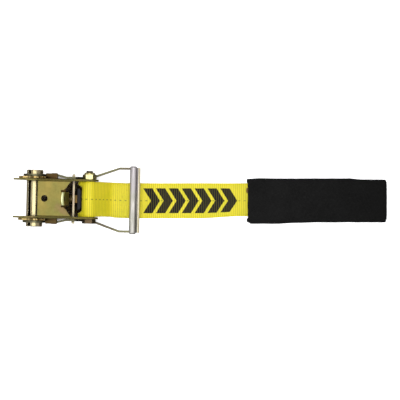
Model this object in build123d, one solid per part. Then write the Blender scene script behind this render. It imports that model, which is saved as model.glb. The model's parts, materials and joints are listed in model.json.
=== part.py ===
from build123d import *
import math
import os

# Ratchet buckle with a sewn webbing loop and a sleeved soft loop, in millimetres.
# Modelling frame: origin on the spool axis, +X from the spool to the anchor bolt, +Y along the
# spool, +Z out of the base plate. The finished parts are moved so that the origin lies on the
# floor under the middle of the whole object.

# Webbing, the size that the rest follows
WEBBING_W = 50.0
WEBBING_T = 2.3
LAYER_GAP = 0.1

# Longer than any part is from where a cutting shape starts
REACH = 200.0

# Spool and ratchet wheels
TEETH = 12
WHEEL_R = 23.0
WHEEL_ROOT_R = 18.2
WHEEL_IN = 28.2
WHEEL_T = 3.0
ROOT_FLAT = 13.0
TIP_LAND = 4.5
TIP_ANGLE = 180 / TEETH + TIP_LAND / 2
MANDREL_R = 11.6
MANDREL_HALF = 40.2
SLOT_W = 4.6
SLOT_TILT = 34.0
SLOT_END_CHAMFER = 0.7
BEARING_GAP = 0.06
PIN_R = 1.5
PIN_Y = 36.6
PIN_HALF = 13.4
PIN_CHAMFER = 0.4

# Base frame
SHEET = 2.6
EAR_IN = WEBBING_W / 2 + 0.4
EAR_OUT = EAR_IN + SHEET
EAR_RING_R = 16.8
WEB_TOP = 24.1
WEB_LEFT = 6.4
WEB_RIGHT = 55.0
WEB_CUT = 39.6
EAR_LEFT = -29.5
BEND_R = 4.2
HOLE_X = 15.9
HOLE_R = 4.6
LOBE_R = 23.3
LIP_W = 19.0
LIP_LEN = 14.5
LIP_RELIEF = (0.6, 2.6)
LIP_OVERLAP = 2.0
LIP_SLOT_HALF = 2.9

# Anchor bolt
BOLT_X = 77.5
BOLT_Z = 2.0
BOLT_R = 4.95
THREAD_GAP = 0.03
BOSS_R = 12.9
SPACER_R = 7.9
HEX_AF = 17.0
HEAD_T = 6.4
NUT_T = 7.2
NUT_COLLAR_T = 2.6
NYLON_R = 6.2
COLLAR_FILLET = 1.7
HEX_CHAMFER = (0.55, 1.0)
BOLT_CHAMFER = 1.0
BOLT_END = 40.2

# Pawls, plates that point at the spool axis
PAWL_T = 3.0
PAWL_GAP = 0.15
PAWL_SLOT_GAP = 0.4
PAWL_STEP = 1.8
PAWL_CORNER = 1.2
TIP_IN = 18.4
LOCK_ANGLE = TIP_ANGLE + 6.0
LOCK_R = (TIP_IN, 36.2)
LOCK_HALF = 35.6
LOCK_TRAVEL = 6.2
LOCK_TONGUE = (29.0, 47.5)
LOCK_TONGUE_W = 4.4
LOCK_NOTCH_W = 11.6
LOCK_SET_BACK = 5.0
LOCK_SPRING_R = 3.6
LOCK_WIRE = 1.1
LOCK_TURNS = 6
DRIVE_ANGLE = LOCK_ANGLE - 30.0
DRIVE_TIP = 23.6
DRIVE_IN = 3.8
DRIVE_OUT = 2.6
DRIVE_SLOT_IN = DRIVE_TIP - DRIVE_IN - 0.4
DRIVE_DEPTH = 8.0
DRIVE_SET_BACK = 3.0
DRIVE_HALF = 36.2
SHOULDER_R = 43.5
SHOULDER_HALF = 22.0
SHOULDER_CORNER = 3.5
NECK_W = 10.8
NECK_END = 64.3
TAB_R = (60.3, 66.0)
TAB_HALF = 15.6
TAB_CORNER = 5.2
TAB_T = 3.6
DRIVE_SPRING_R = 7.6
DRIVE_WIRE = 1.7
DRIVE_TURNS = 3.5
SPRING_END_GAP = 0.1
BAR_R = 54.9
BAR_T = 2.8
BAR_H = 11.0
TENON_H = 6.4
RIVET_SPREAD = (1.0, 1.4)
BAR_HALF = 35.2

# Handle
ARM_T = 3.0
HUB_R = 16.4
NECK_FILLET = 4.0
ARM_END_FILLET = 2.9
ARM_END_GAP = 0.2
ARM_WHEEL_IN = 31.5
ARM_NEAR_IN = EAR_OUT + 0.6
ARM_GRIP_OUT = 46.2
GRIP_X = 139.0
GRIP_Z = -10.2
GRIP_W = 9.6
GRIP_H = 13.0
GRIP_WALL = 1.8
GRIP_CORNER = 3.2
GRIP_HALF = 46.3
LIP_OUT_X = 148.6
LIP_UP = 12.0
LIP_T = 2.3
LIP_CORNER = 2.2
ROD_R = 2.4
ROD_HEAD_R = 4.7
ROD_HEAD_T = 1.9
ROD_HEAD_FILLET = 1.6

# Webbing run and sleeve; the run lies on the floor and turns a little from the buckle's line
FLOOR = -WHEEL_R * math.cos(math.radians(180 / TEETH - TIP_LAND / 2))
LOOP_R = SPACER_R + 0.35 + WEBBING_T / 2
IN_SLOPE = 22.4
IN_BEND = 25.0
OUT_SLOPE = 50.0
OUT_BEND = 12.0
SHIFT_BEND = 30.0
UNDER_END = 152.0
TAIL_MARGIN = 4.0
TUCK = 3.4
SLEEVE_X = (302.0, 501.0)
SLEEVE_W = 62.0
SLEEVE_WALL = 0.9
SLEEVE_GAP = 0.25
SLEEVE_SEAM = 1.4
SLEEVE_CORNER = 5.0
YAW = 1.25
YAW_X = 171.0
YAW_FROM = 116.0


def turned(x, y, angle):
    c = math.cos(math.radians(angle))
    s = math.sin(math.radians(angle))
    return (x * c - y * s, x * s + y * c)


# The furthest point of the sleeve's rounded corner sets the middle of the object's length.
CORNER_X = SLEEVE_X[1] - YAW_X - SLEEVE_CORNER
CORNER_Y = -(SLEEVE_W / 2 - SLEEVE_CORNER)
FAR_X = YAW_X + turned(CORNER_X, CORNER_Y, YAW)[0] + SLEEVE_CORNER
ORIGIN_X = (EAR_LEFT + FAR_X) / 2


def polar(radius, angle):
    return turned(radius, 0, angle)


def slab(face, y_low, y_high):
    """A side outline, drawn in X and Z, as thick as from y_low to y_high."""
    return extrude(Plane.XZ.offset(-y_high) * face, y_high - y_low)


def outline(points):
    return make_face(Polyline(*points, close=True))


def bar_y(radius, y_low, y_high, x, z):
    """A round bar along Y."""
    start = Plane(origin=(x, y_low, z), x_dir=(1, 0, 0), z_dir=(0, 1, 0))
    return start * Cylinder(radius, y_high - y_low, align=(Align.CENTER, Align.CENTER, Align.MIN))


def radial(angle):
    """The plane of a pawl: its x runs out from the spool axis, its y along the spool."""
    c, s = polar(1, angle)
    return Plane(origin=(0, 0, 0), x_dir=(c, 0, s), z_dir=(-s, 0, c))


def radial_box(angle, r_low, r_high, y_low, y_high, thick):
    size = Box(r_high - r_low, y_high - y_low, thick)
    return radial(angle) * (Pos((r_low + r_high) / 2, (y_low + y_high) / 2, 0) * size)


def coil(radius, wire, length, turns):
    """A compression spring along its own Z."""
    line = Helix(pitch=(length - wire) / turns, height=length - wire, radius=radius)
    section = Plane(origin=line @ 0, z_dir=line % 0) * Circle(wire / 2)
    return Pos(0, 0, wire / 2) * sweep(section, path=line, is_frenet=True)


def ear_outline():
    """The side of the base frame, before its slots."""
    body = outline([
        (WEB_LEFT, WEB_TOP),
        (WEB_RIGHT, WEB_TOP),
        (BOLT_X + 6.5, BOLT_Z + 11.2),
        (BOLT_X, BOLT_Z),
        (BOLT_X - 13.0, 0.3),
        (24.6, 0.3),
        (0, -4.0),
        (-16.2, 5.7),
        (EAR_LEFT + 1.5, 7.6),
        (EAR_LEFT, 9.4),
        (EAR_LEFT + 1.2, 13.6),
        (-12.0, 20.2),
    ])
    wedge = outline([(0, 0), polar(40, -34), polar(40, -5)])
    lobe = Circle(LOBE_R) & wedge
    boss = Pos(BOLT_X, BOLT_Z) * Circle(BOSS_R)
    return body + Circle(EAR_RING_R) + lobe + boss


def web_outline():
    """The base plate seen from above, with its bell-shaped cut-out and round hole."""
    plate = Pos((WEB_LEFT + WEB_RIGHT) / 2, 0) * Rectangle(WEB_RIGHT - WEB_LEFT, REACH)
    edge = Spline(
        (WEB_RIGHT - 1, -EAR_IN + 0.6),
        (WEB_RIGHT - 7, -EAR_IN + 7.5),
        (WEB_CUT + 3.4, -LIP_W / 2 - 3.6),
        tangents=((-1, 0.6), (-1, 0.25)),
    )
    mirrored = mirror(edge, Plane.XZ)
    close_low = Line(edge @ 1, mirrored @ 1)
    right = Polyline(mirrored @ 0, (WEB_RIGHT + 5, EAR_IN - 0.6), (WEB_RIGHT + 5, 0.6 - EAR_IN), edge @ 0)
    cut = make_face([edge, close_low, mirrored, right])
    depth, relief_w = LIP_RELIEF
    length = BEND_R + 8
    for side in (-1, 1):
        relief = Rectangle(length, relief_w, align=(Align.MIN, Align.CENTER))
        cut += Pos(WEB_CUT - depth, side * (LIP_W + relief_w) / 2) * relief
    cut += Pos(WEB_CUT, 0) * Rectangle(length, LIP_W + 0.2, align=(Align.MIN, Align.CENTER))
    return plate - cut - Pos(HOLE_X, 0) * Circle(HOLE_R)


def make_base_frame():
    width = 2 * EAR_OUT
    outer = Rectangle(width, REACH, align=(Align.CENTER, Align.MAX))
    outer = fillet(outer.vertices().group_by(Axis.Y)[-1], BEND_R)
    inner = Pos(0, -SHEET) * Rectangle(width - 2 * SHEET, REACH, align=(Align.CENTER, Align.MAX))
    inner = fillet(inner.vertices().group_by(Axis.Y)[-1], BEND_R - SHEET)
    back = Plane(origin=(-REACH / 2, 0, WEB_TOP), x_dir=(0, 1, 0), z_dir=(1, 0, 0))
    channel = extrude(back * (outer - inner), REACH)
    side = slab(ear_outline(), -EAR_OUT - 1, EAR_OUT + 1)
    plan = extrude(Plane.XY.offset(-REACH / 2) * web_outline(), REACH)
    for sign in (-1, 1):
        plan += Pos(0, sign * (EAR_OUT - SHEET / 2), 0) * Box(REACH, SHEET + 0.02, REACH)
    frame = channel & side & plan
    frame += make_lip()
    for y in (-EAR_OUT - 1, EAR_IN - 1):
        end = y + SHEET + 2
        frame -= bar_y(MANDREL_R + BEARING_GAP, y, end, 0, 0)
        frame -= bar_y(BOLT_R + 0.1, y, end, BOLT_X, BOLT_Z)
        slot = (TIP_IN - 2 * PAWL_GAP, LOCK_R[1] + LOCK_TRAVEL + PAWL_SLOT_GAP)
        frame -= radial_box(LOCK_ANGLE, *slot, y, end, PAWL_T + 2 * PAWL_GAP)
        park = (DRIVE_SLOT_IN, DRIVE_TIP + 2 * DRIVE_DEPTH)
        frame -= radial_box(DRIVE_ANGLE, *park, y, end, PAWL_T + 2 * PAWL_SLOT_GAP)
    return frame


def make_lip():
    """The tongue of the base plate, bent down square to the locking pawl as its spring seat."""
    c, s = polar(1, LOCK_ANGLE)
    top = (WEB_CUT, WEB_TOP)
    bend = BEND_R
    low = (top[0] + bend * c + s * LIP_LEN, top[1] - bend + bend * s - c * LIP_LEN)
    high = (top[0] + bend * c, top[1] - bend + bend * s)
    arc_mid = polar(bend, (90 + LOCK_ANGLE) / 2)
    inner_r = bend - SHEET
    inner_mid = polar(inner_r, (90 + LOCK_ANGLE) / 2)
    centre = (top[0], top[1] - bend)
    inner_high = (centre[0] + inner_r * c, centre[1] + inner_r * s)
    inner_low = (low[0] - SHEET * c, low[1] - SHEET * s)
    start = (top[0] - LIP_OVERLAP, top[1])
    face = make_face([
        Line(start, top),
        ThreePointArc(top, (centre[0] + arc_mid[0], centre[1] + arc_mid[1]), high),
        Line(high, low),
        Line(low, inner_low),
        Line(inner_low, inner_high),
        ThreePointArc(
            inner_high,
            (centre[0] + inner_mid[0], centre[1] + inner_mid[1]),
            (top[0], top[1] - SHEET),
        ),
        Line((top[0], top[1] - SHEET), (start[0], start[1] - SHEET)),
        Line((start[0], start[1] - SHEET), start),
    ])
    lip = slab(face, -LIP_W / 2, LIP_W / 2)
    return lip - radial_box(LOCK_ANGLE, 0, REACH, -LIP_SLOT_HALF, LIP_SLOT_HALF, PAWL_T + 0.6)


def hexagon_y(y_low, y_high):
    """A hexagon across HEX_AF with turned corners, along Y on the bolt axis."""
    thick = y_high - y_low
    place = Plane(origin=(BOLT_X, y_low, BOLT_Z), x_dir=(1, 0, 0), z_dir=(0, 1, 0))
    prism = extrude(RegularPolygon(HEX_AF / 2, 6, major_radius=False), thick)
    turned_part = Pos(0, 0, thick / 2) * Cylinder(HEX_AF / math.sqrt(3), thick)
    turned_part = chamfer(turned_part.edges().filter_by(GeomType.CIRCLE), *HEX_CHAMFER)
    return place * (prism & turned_part)


def make_anchor_bolt():
    head = hexagon_y(-EAR_OUT - HEAD_T, -EAR_OUT)
    shank = bar_y(BOLT_R, -EAR_OUT, BOLT_END, BOLT_X, BOLT_Z)
    return head + chamfer(shank.edges().group_by(Axis.Y)[-1], BOLT_CHAMFER)


def make_nut():
    """The nut and its nylon ring; the nut's collar is rolled over the ring."""
    seat = EAR_OUT + NUT_T
    top = seat + NUT_COLLAR_T
    collar = bar_y(HEX_AF / 2 - 0.8, seat, top, BOLT_X, BOLT_Z)
    collar = fillet(collar.edges().group_by(Axis.Y)[-1], COLLAR_FILLET)
    ring = bar_y(NYLON_R, seat + 0.3, top - 0.5, BOLT_X, BOLT_Z)
    nut = hexagon_y(EAR_OUT, seat) + collar - ring
    nut -= bar_y(BOLT_R + THREAD_GAP, EAR_OUT - 1, seat + 1, BOLT_X, BOLT_Z)
    nut -= bar_y(BOLT_R + 0.7, seat, top + 1, BOLT_X, BOLT_Z)
    insert = ring - bar_y(BOLT_R + THREAD_GAP, seat, top, BOLT_X, BOLT_Z)
    return nut, insert


def make_spacer():
    tube = bar_y(SPACER_R, -EAR_IN + 0.1, EAR_IN - 0.1, BOLT_X, BOLT_Z)
    return tube - bar_y(BOLT_R + 0.15, -EAR_IN, EAR_IN, BOLT_X, BOLT_Z)


def half_round(side):
    """One side of the round spool bar: a circle less the slot and the other half."""
    keep = Pos(side * (SLOT_W / 2 + MANDREL_R), 0) * Rectangle(2 * MANDREL_R, 4 * MANDREL_R)
    return Rot(0, 0, SLOT_TILT) * (Circle(MANDREL_R) & keep)


def retaining_pin(y, radius):
    c, s = polar(1, SLOT_TILT)
    start = Plane(origin=(-PIN_HALF * c, y, -PIN_HALF * s), z_dir=(c, 0, s))
    return start * Cylinder(radius, 2 * PIN_HALF, align=(Align.CENTER, Align.CENTER, Align.MIN))


def make_mandrel(side):
    half = slab(half_round(side), -MANDREL_HALF, MANDREL_HALF)
    ends = half.edges().group_by(Axis.Y)
    half = chamfer(list(ends[0]) + list(ends[-1]), SLOT_END_CHAMFER)
    for y in (-PIN_Y, PIN_Y):
        half -= retaining_pin(y, PIN_R + 0.02)
    return half


def wheel_outline():
    """Saw teeth: a radial face, a flat root as wide as a pawl, and a ramp to the next tip."""
    pitch = 360 / TEETH
    points = []
    for tooth in range(TEETH):
        tip = TIP_ANGLE + tooth * pitch
        points.append(polar(WHEEL_R, tip - TIP_LAND))
        points.append(polar(WHEEL_R, tip))
        points.append(polar(WHEEL_ROOT_R, tip))
        points.append(polar(WHEEL_ROOT_R, tip + ROOT_FLAT))
    bore = Rot(0, 0, SLOT_TILT) * Rectangle(SLOT_W - 0.1, 3 * MANDREL_R)
    return outline(points) - (Circle(MANDREL_R + 0.05) - bore)


def make_wheel(sign):
    low, high = sorted((sign * WHEEL_IN, sign * (WHEEL_IN + WHEEL_T)))
    return slab(wheel_outline(), low, high)


def make_pin(sign):
    pin = retaining_pin(sign * PIN_Y, PIN_R)
    return chamfer(pin.edges().filter_by(GeomType.CIRCLE), PIN_CHAMFER)


def inner_block():
    """What a pawl leaves free between the ears, towards the spool."""
    return Rectangle(REACH, 2 * (EAR_IN - PAWL_STEP), align=(Align.MAX, Align.CENTER))


def lock_plan():
    r_low, r_high = LOCK_R
    plate = Pos((r_low + r_high) / 2, 0) * Rectangle(r_high - r_low, 2 * LOCK_HALF)
    plate = fillet(plate.vertices(), PAWL_CORNER)
    plate -= Pos(r_low + LOCK_SET_BACK, 0) * inner_block()
    root, end = LOCK_TONGUE
    out = (Align.MIN, Align.CENTER)
    plate -= Pos(root, 0) * Rectangle(REACH, LOCK_NOTCH_W, align=out)
    return plate + Pos(root - 2, 0) * Rectangle(end - root + 2, LOCK_TONGUE_W, align=out)


def make_lock_pawl():
    plan = radial(LOCK_ANGLE).offset(-PAWL_T / 2) * lock_plan()
    return extrude(plan, PAWL_T)


def make_lock_spring():
    c, s = polar(1, LOCK_ANGLE)
    seat = WEB_CUT * c + (WEB_TOP - BEND_R) * s + BEND_R - SHEET
    start = LOCK_TONGUE[0] + SPRING_END_GAP
    spring = coil(LOCK_SPRING_R, LOCK_WIRE, seat - start - SPRING_END_GAP, LOCK_TURNS)
    place = Plane(origin=(start * c, 0, start * s), x_dir=(0, 1, 0), z_dir=(c, 0, s))
    return place * spring


def drive_plan():
    r_tip = DRIVE_TIP
    r_back = DRIVE_TIP + DRIVE_DEPTH
    side = [
        (r_tip, DRIVE_HALF), (r_back, DRIVE_HALF), (r_back, SHOULDER_HALF),
        (SHOULDER_R - SHOULDER_CORNER, SHOULDER_HALF), (SHOULDER_R, SHOULDER_HALF - SHOULDER_CORNER),
        (SHOULDER_R, NECK_W / 2), (NECK_END, NECK_W / 2),
    ]
    plan = outline(side + [(r, -y) for r, y in reversed(side)])
    return plan - Pos(r_tip + DRIVE_SET_BACK, 0) * inner_block()


def make_drive_pawl():
    plan = radial(DRIVE_ANGLE).offset(-PAWL_T / 2) * drive_plan()
    return extrude(plan, PAWL_T)


def make_finger_tab():
    """A moulded D-shaped cap on the end of the drive pawl's neck."""
    r_low, r_high = TAB_R
    plan = Pos((r_low + r_high) / 2, 0) * Rectangle(r_high - r_low, 2 * TAB_HALF)
    plan = fillet(plan.vertices().group_by(Axis.X)[-1], TAB_CORNER)
    cap = extrude(radial(DRIVE_ANGLE).offset(-TAB_T / 2 - 0.9) * plan, TAB_T + 1.8)
    cap = fillet(cap.edges(), 0.9)
    return cap - radial_box(DRIVE_ANGLE, 50, NECK_END + 0.05, -NECK_W / 2, NECK_W / 2, PAWL_T)


def make_drive_spring():
    c, s = polar(1, DRIVE_ANGLE)
    start = SHOULDER_R + SPRING_END_GAP
    length = BAR_R - BAR_T / 2 - SPRING_END_GAP - start
    spring = coil(DRIVE_SPRING_R, DRIVE_WIRE, length, DRIVE_TURNS)
    place = Plane(origin=(start * c, 0, start * s), x_dir=(0, 1, 0), z_dir=(c, 0, s))
    return place * spring


def spring_bar_box(y_low, y_high, thick, height):
    return radial_box(DRIVE_ANGLE, BAR_R - thick / 2, BAR_R + thick / 2, y_low, y_high, height)


def make_spring_bar():
    bar = spring_bar_box(-ARM_NEAR_IN, ARM_NEAR_IN, BAR_T, BAR_H)
    bar += spring_bar_box(-BAR_HALF, BAR_HALF, BAR_T, TENON_H)
    head_from = ARM_NEAR_IN + ARM_T
    wider, taller = RIVET_SPREAD
    for low, high in ((-BAR_HALF + 0.6, -head_from), (head_from, BAR_HALF - 0.6)):
        bar += spring_bar_box(low, high, BAR_T + wider, TENON_H + taller)
    neck = NECK_W / 2 + 0.2
    return bar - radial_box(DRIVE_ANGLE, 50, 60, -neck, neck, PAWL_T + 2 * PAWL_GAP)


def arm_outline():
    """The side of a handle arm: hub, necked strip and the end that enters the grip."""
    end_x = GRIP_X + GRIP_W / 2 - GRIP_WALL - ARM_END_GAP
    end_half = GRIP_H / 2 - GRIP_WALL - ARM_END_GAP
    strip = outline([
        (0, 0), (16.0, 3.3), (40.0, -0.8), (58.5, -2.4), (65.8, -9.8), (92.0, -9.8),
        (112.0, -7.0), (128.0, GRIP_Z + end_half), (end_x, GRIP_Z + end_half),
        (end_x, GRIP_Z - end_half), (128.0, GRIP_Z - end_half), (100.0, -21.4),
        (66.0, -21.4), (40.0, -17.8), (4.0, -15.9),
    ])
    strip = fillet(strip.vertices().filter_by_position(Axis.X, 30, 110), NECK_FILLET)
    ends = strip.vertices().filter_by_position(Axis.X, end_x - 0.1, end_x + 0.1)
    return fillet(ends, ARM_END_FILLET) + Circle(HUB_R)


def arm_band():
    """The cranked run of an arm, seen from above, as a strip ARM_T thick."""
    far = ARM_GRIP_OUT - ARM_T
    inner = [
        (-30, ARM_WHEEL_IN), (33.4, ARM_WHEEL_IN), (44.4, ARM_NEAR_IN), (74.0, ARM_NEAR_IN),
        (87.0, ARM_NEAR_IN + 3.2), (119.4, far), (150, far),
    ]
    outer = [(x, y + ARM_T) for x, y in reversed(inner)]
    return outline(inner + outer)


def make_arm(sign):
    side = slab(arm_outline(), 0, REACH)
    arm = side & extrude(Plane.XY.offset(-REACH / 2) * arm_band(), REACH)
    through = (0, REACH)
    arm -= bar_y(MANDREL_R + BEARING_GAP, *through, 0, 0)
    slot = (DRIVE_SLOT_IN, DRIVE_TIP + DRIVE_DEPTH + DRIVE_OUT + PAWL_SLOT_GAP)
    arm -= radial_box(DRIVE_ANGLE, *slot, *through, PAWL_T + 2 * PAWL_GAP)
    arm -= spring_bar_box(*through, BAR_T, TENON_H)
    arm -= bar_y(ROD_R, *through, GRIP_X, GRIP_Z)
    return arm if sign > 0 else mirror(arm, Plane.XZ)


def make_grip_shell():
    """Rolled sheet: a closed tube whose edge runs on under it and turns up as a lip."""
    wall = GRIP_WALL
    low = GRIP_Z - GRIP_H / 2
    tube = Pos(GRIP_X, GRIP_Z) * RectangleRounded(GRIP_W, GRIP_H, GRIP_CORNER)
    hollow = RectangleRounded(GRIP_W - 2 * wall, GRIP_H - 2 * wall, GRIP_CORNER - wall)
    foot_w = LIP_OUT_X - GRIP_X
    foot = Pos(GRIP_X + foot_w / 2, low + LIP_UP / 2) * RectangleRounded(foot_w, LIP_UP, LIP_CORNER)
    open_side = Rectangle(foot_w, REACH, align=(Align.MIN, Align.MIN))
    profile = foot - Pos(GRIP_X - LIP_T, low + wall) * open_side
    profile += tube
    shell = slab(profile - Pos(GRIP_X, GRIP_Z) * hollow, -GRIP_HALF, GRIP_HALF)
    notch = Box(GRIP_W, 2 * (ARM_T + GRIP_HALF - ARM_GRIP_OUT + 0.1), GRIP_H - 2 * wall)
    for sign in (-1, 1):
        shell -= Pos(GRIP_X - GRIP_W / 2, sign * GRIP_HALF, GRIP_Z) * notch
    return shell


def make_grip_rod():
    rod = bar_y(ROD_R, -GRIP_HALF, GRIP_HALF, GRIP_X, GRIP_Z)
    tip = GRIP_HALF + ROD_HEAD_T
    for low, high, end in ((-tip, -GRIP_HALF, 0), (GRIP_HALF, tip, -1)):
        head = bar_y(ROD_HEAD_R, low, high, GRIP_X, GRIP_Z)
        rod += fillet(head.edges().group_by(Axis.Y)[end], ROD_HEAD_FILLET)
    return rod


def band(start, heading, moves, thick):
    """A strip that follows straight runs (length, 0) and turns (radius, degrees), left positive."""
    x, z = start
    left = []
    right = []
    for amount, turn in moves:
        nx, nz = turned(0, 1, heading)
        sides = []
        if turn == 0:
            dx, dz = turned(amount, 0, heading)
            for sign in (1, -1):
                ox, oz = x + sign * nx * thick / 2, z + sign * nz * thick / 2
                sides.append(Line((ox, oz), (ox + dx, oz + dz)))
            x, z = x + dx, z + dz
        else:
            way = math.copysign(1, turn)
            cx, cz = x + way * nx * amount, z + way * nz * amount
            for sign in (1, -1):
                radius = amount - sign * way * thick / 2
                arm = (-way * nx * radius, -way * nz * radius)
                ends = [turned(*arm, share * turn) for share in (0, 0.5, 1)]
                sides.append(ThreePointArc(*[(cx + ex, cz + ez) for ex, ez in ends]))
            arm = turned(-way * nx * amount, -way * nz * amount, turn)
            x, z = cx + arm[0], cz + arm[1]
            heading += turn
        left.append(sides[0])
        right.append(sides[1])
    first = Line(left[0] @ 0, right[0] @ 0)
    last = Line(left[-1] @ 1, right[-1] @ 1)
    return make_face([first, last] + left + right), (x, z)


def shift_moves(rise, radius):
    """Two opposite turns that lift a run by rise; also the length they take."""
    angle = math.degrees(math.acos(1 - abs(rise) / (2 * radius)))
    way = math.copysign(1, rise)
    length = 2 * radius * math.sin(math.radians(angle))
    return [(radius, way * angle), (radius, -way * angle)], length


LAYER = WEBBING_T / 2
SLEEVE_T = WEBBING_T + 2 * SLEEVE_GAP + 2 * SLEEVE_WALL
SLEEVE_MID = FLOOR + SLEEVE_T / 2
FOLD_R = SLEEVE_T / 2 + 0.3
FOLD_END = SLEEVE_X[1] - FOLD_R - SLEEVE_T / 2


def webbing_moves():
    """The run of the webbing from its sewn end, round the bolt and out to the soft loop."""
    bolt_z = BOLT_Z - FLOOR
    in_tan = IN_BEND * math.tan(math.radians(IN_SLOPE / 2))
    out_tan = OUT_BEND * math.tan(math.radians(OUT_SLOPE / 2))
    px, pz = polar(LOOP_R, 270 - IN_SLOPE)
    in_x = BOLT_X + px + (bolt_z + pz - LAYER) / math.tan(math.radians(IN_SLOPE))
    in_run = (bolt_z + pz - LAYER) / math.sin(math.radians(IN_SLOPE)) - in_tan
    qx, qz = polar(LOOP_R, 90 - OUT_SLOPE)
    drop = bolt_z + qz - 3 * LAYER - LAYER_GAP
    out_x = BOLT_X + qx + drop / math.tan(math.radians(OUT_SLOPE))
    out_run = drop / math.sin(math.radians(OUT_SLOPE)) - out_tan
    down, down_len = shift_moves(-(WEBBING_T + LAYER_GAP), SHIFT_BEND)
    up, up_len = shift_moves(SLEEVE_T / 2 - LAYER, SHIFT_BEND)
    top_end = UNDER_END + TAIL_MARGIN
    sleeve_run = FOLD_END - SLEEVE_X[0] + TAIL_MARGIN
    middle = SLEEVE_X[0] - TAIL_MARGIN - up_len - (top_end + down_len)
    moves = [(UNDER_END - in_x - in_tan, 0), (IN_BEND, -IN_SLOPE), (in_run, 0)]
    moves += [(LOOP_R, -(180 - IN_SLOPE + OUT_SLOPE)), (out_run, 0), (OUT_BEND, OUT_SLOPE)]
    moves += [(top_end - out_x - out_tan, 0)] + down + [(middle, 0)] + up
    moves += [(sleeve_run, 0), (FOLD_R, 180), (sleeve_run - TUCK, 0)]
    return moves


def yawed(shape):
    return Pos(YAW_X, 0, 0) * Rot(0, 0, YAW) * Pos(-YAW_X, 0, 0) * shape


def run_length(moves):
    return sum(amount if turn == 0 else amount * math.radians(abs(turn)) for amount, turn in moves)


def make_webbing():
    moves = webbing_moves()
    face, _ = band((UNDER_END, FLOOR + LAYER), 180, moves, WEBBING_T)
    strip = slab(face, -WEBBING_W / 2, WEBBING_W / 2)
    before = Box(REACH, REACH, REACH, align=(Align.MAX, Align.CENTER, Align.CENTER))
    near = strip & Pos(YAW_FROM, 0, 0) * before
    far = strip - near
    print("webbing length", round(run_length(moves), 1))
    return near + yawed(far)


def rounded_end(end_x, half, corner):
    """A block that ends at end_x with two rounded corners, seen from above."""
    length = 2 * REACH
    plan = Pos(end_x - length / 2, 0) * Rectangle(length, 2 * half)
    plan = fillet(plan.vertices().group_by(Axis.X)[-1], corner)
    return extrude(Plane.XY.offset(-REACH / 2) * plan, REACH)


def make_sleeve():
    """A flat woven tube over both layers of the soft loop, folded with them."""
    straight = FOLD_END - SLEEVE_X[0]
    moves = [(straight, 0), (FOLD_R, 180), (straight, 0)]
    start = (SLEEVE_X[0], SLEEVE_MID)
    outer, _ = band(start, 0, moves, SLEEVE_T)
    inner, _ = band(start, 0, moves, WEBBING_T + 2 * SLEEVE_GAP)
    half = SLEEVE_W / 2
    skin = slab(outer, -half, half)
    hollow = slab(inner, SLEEVE_SEAM - half, half - SLEEVE_SEAM)
    skin &= rounded_end(SLEEVE_X[1], half, SLEEVE_CORNER)
    hollow &= rounded_end(SLEEVE_X[1] - SLEEVE_WALL, half - SLEEVE_SEAM, SLEEVE_CORNER - SLEEVE_SEAM)
    print("sleeve length", round(run_length(moves), 1))
    return yawed(skin - hollow)


def build():
    nut, insert = make_nut()
    parts = {
        "base_frame": make_base_frame(),
        "anchor_bolt": make_anchor_bolt(),
        "anchor_nut": nut,
        "nut_insert": insert,
        "bolt_spacer": make_spacer(),
        "lock_spring": make_lock_spring(),
        "lock_pawl": make_lock_pawl(),
        "grip_shell": make_grip_shell(),
        "grip_rod": make_grip_rod(),
        "spring_bar": make_spring_bar(),
        "drive_pawl": make_drive_pawl(),
        "finger_tab": make_finger_tab(),
        "drive_spring": make_drive_spring(),
        "webbing": make_webbing(),
        "sleeve": make_sleeve(),
    }
    for letter, sign in (("a", 1), ("b", -1)):
        parts["mandrel_half_" + letter] = make_mandrel(sign)
        parts["ratchet_wheel_" + letter] = make_wheel(sign)
        parts["retaining_pin_" + letter] = make_pin(sign)
        parts["handle_arm_" + letter] = make_arm(sign)
    return parts


os.makedirs("parts", exist_ok=True)
for node, shape in build().items():
    export_step(Pos(-ORIGIN_X, 0, -FLOOR) * shape, "parts/" + node + ".step")
print("origin x", round(ORIGIN_X, 3), "axis height", round(-FLOOR, 3))
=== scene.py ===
import json
import math
import random

import bpy
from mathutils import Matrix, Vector, noise


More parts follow.
